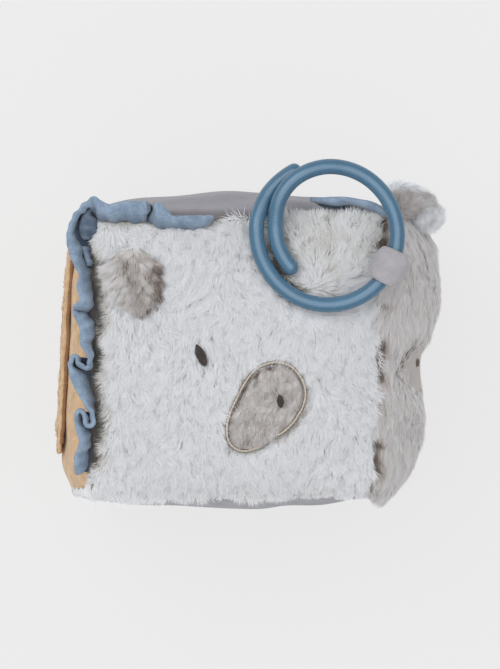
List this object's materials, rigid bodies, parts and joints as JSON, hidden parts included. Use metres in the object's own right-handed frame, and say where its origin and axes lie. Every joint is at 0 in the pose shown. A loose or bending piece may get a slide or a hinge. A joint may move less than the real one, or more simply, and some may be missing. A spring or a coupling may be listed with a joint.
{
  "type": "soft fabric block",
  "caption": "Stuffed fabric activity cube lying on its back: plush animal face, gauze frill, side flap, corner tuft and a plastic link ring in a cloth tab.",
  "frame": {"origin": "centre of the flat face under the block, where it lies on its back", "axes": "+Z up, the way the front panel's face looks; +Y up on the face; +X to the right of the face, where the ring is"},
  "size_m": [0.1632, 0.1472, 0.1329],
  "materials": {
    "white_plush": "matte",
    "taupe_plush": "matte",
    "ochre_gauze": "matte",
    "lilac_jersey": "matte",
    "blue_gauze": "matte",
    "blue_plastic": "satin",
    "dark_thread": "matte",
    "satin_cord": "satin",
    "wadding": "matte"
  },
  "bodies": {
    "block": {"front_panel": "white_plush", "back_panel": "lilac_jersey", "left_panel": "ochre_gauze", "right_panel": "taupe_plush", "top_panel": "lilac_jersey", "bottom_panel": "lilac_jersey", "filling": "wadding", "side_frill": "blue_gauze", "top_frill": "blue_gauze", "flap_band": "ochre_gauze", "corner_tuft": "white_plush", "ear_patch": "taupe_plush", "eye": "dark_thread", "muzzle": "taupe_plush", "muzzle_cord": "satin_cord", "nostril": "dark_thread", "side_patch": "taupe_plush", "side_dimple": "dark_thread"},
    "flap": {"flap": "ochre_gauze"},
    "tab": {"ring_tab": "taupe_plush"},
    "ring": {"link_ring": "blue_plastic"}
  },
  "joints": [
    {"name": "flap_open", "type": "hinge", "parent": "block", "child": "flap", "pos_m": [-0.07028, 0.04807, 0.0605], "axis": [0, 0, -1], "range_deg": [0, 140]},
    {"name": "tab_bend", "type": "hinge", "parent": "block", "child": "tab", "pos_m": [0.0613, 0.0355, 0.1175], "axis": [0, 1, 0], "range_deg": [0, 30]},
    {"name": "ring_swing", "type": "hinge", "parent": "tab", "child": "ring", "pos_m": [0.06425, 0.03728, 0.12654], "axis": [0.454, 0.891, 0], "range_deg": [0, 150]}
  ]
}
